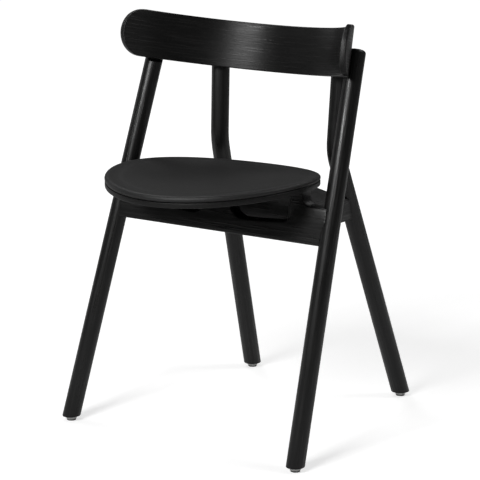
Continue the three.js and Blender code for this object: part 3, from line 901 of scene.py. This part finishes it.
class Finish:
    """A material under construction, with its nodes and its surface shader."""

    def __init__(self, name, **values):
        self.material = bpy.data.materials.new(name)
        self.material.use_nodes = True
        self.tree = self.material.node_tree
        self.shader = self.tree.nodes["Principled BSDF"]
        for socket, value in values.items():
            self.shader.inputs[socket.replace("_", " ")].default_value = value

    def link(self, value, socket):
        if isinstance(value, Wire):
            self.tree.links.new(value.socket, socket)
        else:
            socket.default_value = value

    def node(self, kind, settings, *inputs, out=0, **named):
        made = self.tree.nodes.new("ShaderNode" + kind)
        for name, value in settings.items():
            if name == "stops":
                ramp = made.color_ramp
                while len(ramp.elements) < len(value):
                    ramp.elements.new(0.5)
                for element, (place, level) in zip(ramp.elements, value):
                    element.position = place
                    element.color = (level, level, level, 1)
            else:
                setattr(made, name, value)
        for place, value in enumerate(inputs):
            self.link(value, made.inputs[place])
        for name, value in named.items():
            self.link(value, made.inputs[name.replace("_", " ")])
        return Wire(self, made.outputs[out])

    def place(self):
        return self.node("TexCoord", {}, out="Object")

    def grain(self):
        return self.node("Attribute", {"attribute_name": "grain"}, out="Vector")

    def part(self, place, axis):
        return self.node("SeparateXYZ", {}, place, out=axis)

    def noise(self, place, scale, detail, roughness=0.5):
        return self.node(
            "TexNoise", {}, Vector=place, Scale=scale, Detail=detail, Roughness=roughness
        )

    def drawn_noise(self, place, counts, detail, roughness=0.5):
        """Noise with so many marks in a metre along, across and through."""
        drawn = self.node("Mapping", {"vector_type": "POINT"}, Vector=place, Scale=counts)
        return self.noise(drawn, 1.0, detail, roughness)

    def ramp(self, value, *stops):
        return self.node("ValToRGB", {"stops": stops}, value)

    def mix(self, factor, colours):
        dark, light = colours
        return self.node(
            "Mix", {"data_type": "RGBA"}, out=2, Factor=factor, A=(*dark, 1), B=(*light, 1)
        )

    def bump(self, height, distance, strength=1.0):
        return self.node("Bump", {}, Height=height, Distance=distance, Strength=strength)

    def surface(self, colour, rough, relief):
        for socket, value in (("Base Color", colour), ("Roughness", rough), ("Normal", relief)):
            self.link(value, self.shader.inputs[socket])
        return self.material


# Each finish's darkest and lightest colour

OAK_COLOURS = (0.0012, 0.0012, 0.0012), (0.011, 0.0107, 0.0105)
PLYWOOD_COLOURS = (0.0025, 0.0025, 0.0025), (0.0095, 0.0092, 0.009)
LEATHER_COLOURS = (0.0028, 0.0028, 0.0029), (0.006, 0.0061, 0.0062)
NYLON_COLOURS = (0.78, 0.78, 0.77), (0.88, 0.88, 0.87)
FELT_COLOURS = (0.1, 0.1, 0.097), (0.22, 0.22, 0.214)
STEEL_COLOURS = (0.3, 0.3, 0.31), (0.48, 0.48, 0.47)
BEECH_COLOURS = (0.42, 0.27, 0.14), (0.56, 0.4, 0.24)

# Marks in a metre along, across and through the wood, and other scales per metre

OAK_RINGS = 190
OAK_WANDER = (3, 22, 22)
OAK_STREAKS = (9, 420, 420)
OAK_PORES = (55, 2300, 2300)
OAK_BLOTCHES = (6, 30, 30)
OAK_STRANDS = (13, 400, 400)
PLYWOOD_SHEET_PAIR = 0.0026
PLYWOOD_STREAKS = (10, 380, 380)
LEATHER_PEBBLES = 900.0
LEATHER_HIDE = 14.0
LEATHER_FINE = 2600.0
NYLON_MOULD = 900.0
NYLON_SCUFFS = (300, 300, 60)
FELT_FIBRES = (900, 900, 2600)
STEEL_BRUSH = (600, 600, 3000)
STEEL_CLOUDS = 260.0
BEECH_FLECKS = (900, 240, 900)


def stained_oak(name, base_rough, **values):
    """Black-stained open-pore oak: ring bands, pores, streaks and raised strands, satin."""
    oak = Finish(name, Specular_IOR_Level=0.4, **values)
    place = oak.grain()
    wander = oak.drawn_noise(place, OAK_WANDER, detail=2.0)
    across, through = oak.part(place, "Y"), oak.part(place, "Z")
    rings = ((across + through * 0.35) * OAK_RINGS + wander * 5).fraction()
    early = oak.ramp(rings, (0.0, 0.0), (0.12, 1.0), (0.45, 0.35), (1.0, 0.0))
    streaks = oak.drawn_noise(place, OAK_STREAKS, detail=1.0)
    pores = oak.drawn_noise(place, OAK_PORES, detail=2.0, roughness=0.6)
    pore = oak.ramp(pores, (0.58, 0.0), (0.68, 1.0)) * (early * 0.75 + 0.25)
    line = oak.ramp(streaks, (0.52, 0.0), (0.7, 1.0)) * (early * 0.6 + 0.4)
    blotch = oak.drawn_noise(place, OAK_BLOTCHES, detail=2.0)
    strands = oak.drawn_noise(place, OAK_STRANDS, detail=0.5)
    strand = oak.ramp(strands, (0.54, 0.0), (0.66, 1.0))
    return oak.surface(
        oak.mix(line * 0.5 + blotch * 0.1 + strand * 0.4, OAK_COLOURS),
        base_rough + line * 0.16 + pore * 0.2 + blotch * 0.06 - strand * 0.1,
        oak.bump(line * 0.3 - pore * 0.4 + early * -0.2 + strand * 1.8, 0.0001, 0.7),
    )


def stained_plywood(name, place_of):
    """Black-stained plywood: oak face veneer over thin cross-laid sheets, seen at the rim."""
    ply = Finish(name, Specular_IOR_Level=0.25)
    place = place_of(ply)
    sheets = (ply.part(place, "Z") * (1 / PLYWOOD_SHEET_PAIR)).fraction()
    crossing = ply.ramp(sheets, (0.0, 0.0), (0.06, 1.0), (0.5, 1.0), (0.56, 0.3), (1.0, 0.3))
    streaks = ply.drawn_noise(place, PLYWOOD_STREAKS, detail=3.0, roughness=0.6)
    line = ply.ramp(streaks, (0.48, 0.0), (0.68, 1.0))
    return ply.surface(
        ply.mix(line * 0.6 + crossing * 0.3, PLYWOOD_COLOURS),
        0.42 + line * 0.1,
        ply.bump(line * 0.5 + crossing * 0.6, 0.00012, 0.7),
    )


def black_leather():
    """Smooth black leather: fine pebbles with painted shade in the creases between them, and a
    cloudy hide.
    """
    leather = Finish("black_leather", Specular_IOR_Level=0.46)
    place = leather.place()
    pebbles = leather.node(
        "TexVoronoi", {"feature": "DISTANCE_TO_EDGE"}, Vector=place, Scale=LEATHER_PEBBLES,
        out="Distance",
    )
    pebble_dome_and_crease_shade = leather.ramp(pebbles, (0.0, 0.0), (0.18, 1.0))
    hide = leather.noise(place, LEATHER_HIDE, detail=3.0)
    fine = leather.noise(place, LEATHER_FINE, detail=2.0)
    # Base colour: the creases between pebbles are painted darker, as painted shade; the hide's
    # clouds are the leather's own tone.
    return leather.surface(
        leather.mix(pebble_dome_and_crease_shade * 0.6 + hide * 0.4, LEATHER_COLOURS),
        0.53 - pebble_dome_and_crease_shade * 0.05 + hide * 0.06,
        leather.bump(pebble_dome_and_crease_shade * 0.7 + fine * 0.3, 0.00008, 0.7),
    )


def pale_nylon():
    nylon = Finish("pale_nylon", Specular_IOR_Level=0.5)
    place = nylon.place()
    mould = nylon.noise(place, NYLON_MOULD, detail=2.0)
    scuff = nylon.drawn_noise(place, NYLON_SCUFFS, detail=3.0)
    return nylon.surface(
        nylon.mix(scuff, NYLON_COLOURS), 0.42 + mould * 0.2, nylon.bump(mould, 0.00005, 0.6)
    )


def grey_felt():
    felt = Finish("grey_felt", Specular_IOR_Level=0.1, Sheen_Weight=0.3)
    fibres = felt.drawn_noise(felt.place(), FELT_FIBRES, detail=4.0, roughness=0.7)
    return felt.surface(
        felt.mix(fibres, FELT_COLOURS), 0.92 + fibres * 0.06, felt.bump(fibres, 0.0003)
    )


def zinc_steel():
    steel = Finish("zinc_steel", Metallic=1.0)
    place = steel.place()
    brush = steel.drawn_noise(place, STEEL_BRUSH, detail=3.0)
    cloud = steel.noise(place, STEEL_CLOUDS, detail=3.0)
    return steel.surface(
        steel.mix(cloud, STEEL_COLOURS), 0.28 + brush * 0.2, steel.bump(brush, 0.00003, 0.5)
    )


def bare_beech():
    beech = Finish("bare_beech", Specular_IOR_Level=0.3)
    flecks = beech.drawn_noise(beech.place(), BEECH_FLECKS, detail=3.0)
    return beech.surface(
        beech.mix(flecks, BEECH_COLOURS), 0.6 + flecks * 0.1, beech.bump(flecks, 0.0001)
    )


oak = stained_oak("stained_oak", 0.34)
board_oak = stained_oak("stained_oak_board", 0.42, Anisotropic=0.85, Anisotropic_Rotation=0.25)
plywood = stained_plywood("stained_plywood", Finish.grain)
inner_plywood = stained_plywood("stained_plywood_inner", Finish.place)
leather = black_leather()
nylon = pale_nylon()
felt = grey_felt()
steel = zinc_steel()
beech = bare_beech()

# The chair's pieces, with where in the wood each one's grain starts

dress(backrest(), "backrest_board", "stained_oak", board_oak)

LEGS = {"front": (front_post, front_place_of), "rear": (rear_post, rear_place_of)}
LEG_STARTS = {
    "front": {"right": (0, 0, 0), "left": (0.3, 0.1, 0)},
    "rear": {"right": (0.7, 0, 0), "left": (1.0, 0.1, 0)},
}
PLUG_STARTS = {"right": (0.05, 0.37, 0.1), "left": (0.05, 0.37, 0.1)}
PLUG_NODES = {"front": ["plug_front_{}"], "rear": ["plug_rear_{}_1", "plug_rear_{}_2"]}


def add_pair(right, node, place_of, starts):
    """Finishes a right piece and its left twin."""
    for side, piece in {"right": right, "left": mirrored(right)}.items():
        sign = SIDES[side]
        mark_grain(piece, lambda p: place_of(on_side(p, sign)), starts[side])
        smooth(piece)
        dress(piece, node.format(side), "stained_oak", oak)


for kind, (make, place_of) in LEGS.items():
    post, plugs = make()
    add_pair(post, kind + "_leg_{}", place_of, LEG_STARTS[kind])
    for plug, node in zip(plugs, PLUG_NODES[kind]):
        add_pair(plug, node, place_of, PLUG_STARTS)

front, right = front_rail(), side_rail()
left, rear = mirrored(right), rear_rail()
sideways, lengthways = rail_place(X, Z, Y), rail_place(Y, Z, X)
RAILS = {
    "front_rail": (front, "seat_screw_front", sideways, (0.4, 0.2, 0.3)),
    "side_rail_right": (right, "seat_screw_right", lengthways, (0.9, 0.1, 0.5)),
    "side_rail_left": (left, "seat_screw_left", lengthways, (0.2, 0.6, 0.1)),
    "rear_rail": (rear, "seat_screw_rear", sideways, (0.1, 0.8, 0.2)),
}
for node, (rail, screw, place_of, start) in RAILS.items():
    bore_for_screw(rail, screw)
    mark_grain(rail, place_of, start)
    smooth(rail)
    dress(rail, node, "stained_oak", oak)

dress(plate(), "seat_plate", "stained_plywood", plywood)
dress(seat_pad(), "pad_cover", "leather", leather, "pad_foam")

ring, sole = glide()
GLIDE_PARTS = ((ring, "body", "nylon", nylon), (sole, "felt", "felt", felt))
for leg, foot in (("front", FRONT_FOOT), ("rear", REAR_FOOT)):
    for side, sign in SIDES.items():
        for first, part, slot, material in GLIDE_PARTS:
            piece = copy_of(first, first.name + "_" + leg + "_" + side)
            piece.data.transform(Matrix.Translation((foot.x * sign, foot.y, 0)))
            smooth(piece)
            dress(piece, "glide_" + part + "_" + leg + "_" + side, slot, material)
for first in (ring, sole):
    bpy.data.objects.remove(first)

# CAD nodes that stay get their finishes, by the start of their names

KEPT = {
    "dowel_": beech, "seat_screw_": steel, "pad_screw_": steel, "back_screw_": steel,
    "glide_nail_": steel, "pad_board": inner_plywood,
}
for name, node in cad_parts.items():
    for start, material in KEPT.items():
        if name.startswith(start):
            node.data.materials.clear()
            node.data.materials.append(material)

# Studio: a plain pale floor, soft light, and a white ground for the camera

FLOOR_RADIUS = 40
FLOOR_GREY = (0.6, 0.6, 0.6, 1)
FLOOR_NEAR, FLOOR_FAR = 0.8, 3.0
GLOW_NEAR, GLOW_FAR = 0.62, 0.97
GLOW_MIRRORED = 0.15
SKY_DARK = 0.06
SKY_BEHIND = (0.174, 0.985, 0)
SKY_START, SKY_END = 0.2, 0.85
SKY_MIRRORED = 0.03

# Each softbox: its place, the height that it faces on the middle line, width, height, radiance

SOFTBOXES = {
    "front_softbox": ((-0.08, -3.0, 2.4), 0.5, 1.15, 1.0, 27.0),
    "left_fill": ((-3.0, 0.0, 1.0), 0.4, 1.4, 1.4, 0.7),
    "left_softbox": ((-2.0, 0.9, 3.6), 0.45, 1.3, 1.3, 5.5),
    "right_softbox": ((2.3, 1.3, 3.1), 0.45, 1.2, 1.2, 7.0),
    "back_softbox": ((0.35, 3.0, 2.9), 0.5, 1.3, 0.8, 3.0),
}
CEILING_PLACE, CEILING_SPREAD, CEILING_STRENGTH = (-1.0, 0.5, 4.0), 50, 0.05


class Ground(Finish):
    """The shader of the floor or the sky: plain light with a strength made of Math nodes."""

    def __init__(self, tree, output):
        self.tree = tree
        tree.nodes.clear()
        self.end = tree.nodes.new(output)

    def seen(self, ray):
        return self.node("LightPath", {}, out=ray)

    def white(self):
        return self.seen("Is Camera Ray") + self.seen("Is Transmission Ray")

    def close(self, surface):
        self.tree.links.new(surface.socket, self.end.inputs["Surface"])


def lay_floor():
    """A matt floor that also glows for the camera, less near the chair, so its shadow shows."""
    deselect()
    bpy.ops.mesh.primitive_circle_add(
        vertices=FLOOR_SIDES, radius=FLOOR_RADIUS, fill_type="NGON", location=(0, 0, 0)
    )
    floor = new_piece("floor")
    paint = bpy.data.materials.new("pale_floor")
    paint.use_nodes = True
    floor.data.materials.append(paint)
    ground = Ground(paint.node_tree, "ShaderNodeOutputMaterial")
    strength = ground.white() + ground.seen("Is Glossy Ray") * GLOW_MIRRORED
    reach = ground.node("VectorMath", {"operation": "LENGTH"}, ground.place(), out="Value")
    level = ground.node("MapRange", {}, reach, FLOOR_NEAR, FLOOR_FAR, GLOW_NEAR, GLOW_FAR)
    glow = ground.node("Emission", {}, Color=level, Strength=strength)
    matt = ground.node("BsdfDiffuse", {}, Color=FLOOR_GREY)
    both = ground.tree.nodes.new("ShaderNodeAddShader")
    ground.tree.links.new(matt.socket, both.inputs[0])
    ground.tree.links.new(glow.socket, both.inputs[1])
    ground.close(Wire(ground, both.outputs[0]))


def hang_sky():
    """White for the camera and dim for light; reflections see it a little lighter behind."""
    world = bpy.data.worlds.new("studio")
    bpy.context.scene.world = world
    world.use_nodes = True
    ground = Ground(world.node_tree, "ShaderNodeOutputWorld")
    white = ground.white()
    way = ground.node("TexCoord", {}, out="Generated")
    behind = ground.node(
        "VectorMath", {"operation": "DOT_PRODUCT"}, way, SKY_BEHIND, out="Value"
    )
    share = ground.node("MapRange", {}, behind, SKY_START, SKY_END, 0.0, SKY_MIRRORED)
    strength = SKY_DARK + (white + ground.seen("Is Glossy Ray") * share) * (1 - SKY_DARK)
    ground.close(ground.node("Background", {}, (1, 1, 1, 1), strength))


def hang(name, light, place, toward):
    holder = bpy.data.objects.new(name, light)
    bpy.context.scene.collection.objects.link(holder)
    holder.location = place
    holder.rotation_mode = "QUATERNION"
    holder.rotation_quaternion = (toward - Vector(place)).to_track_quat("-Z", "Y")


def softbox(name, place, faced_height, width, height, radiance):
    light = bpy.data.lights.new(name, "AREA")
    light.shape = "RECTANGLE"
    light.size = width
    light.size_y = height
    light.energy = radiance * math.pi * width * height
    hang(name, light, place, Z * faced_height)


def ceiling():
    """Faint light from above, as from a wide pale ceiling."""
    light = bpy.data.lights.new("ceiling", "SUN")
    light.energy = CEILING_STRENGTH
    light.angle = math.radians(CEILING_SPREAD)
    hang("ceiling", light, CEILING_PLACE, Vector((0, 0, 0)))


lay_floor()
hang_sky()
for name, values in SOFTBOXES.items():
    softbox(name, *values)
ceiling()
bpy.context.scene.view_settings.view_transform = "Standard"
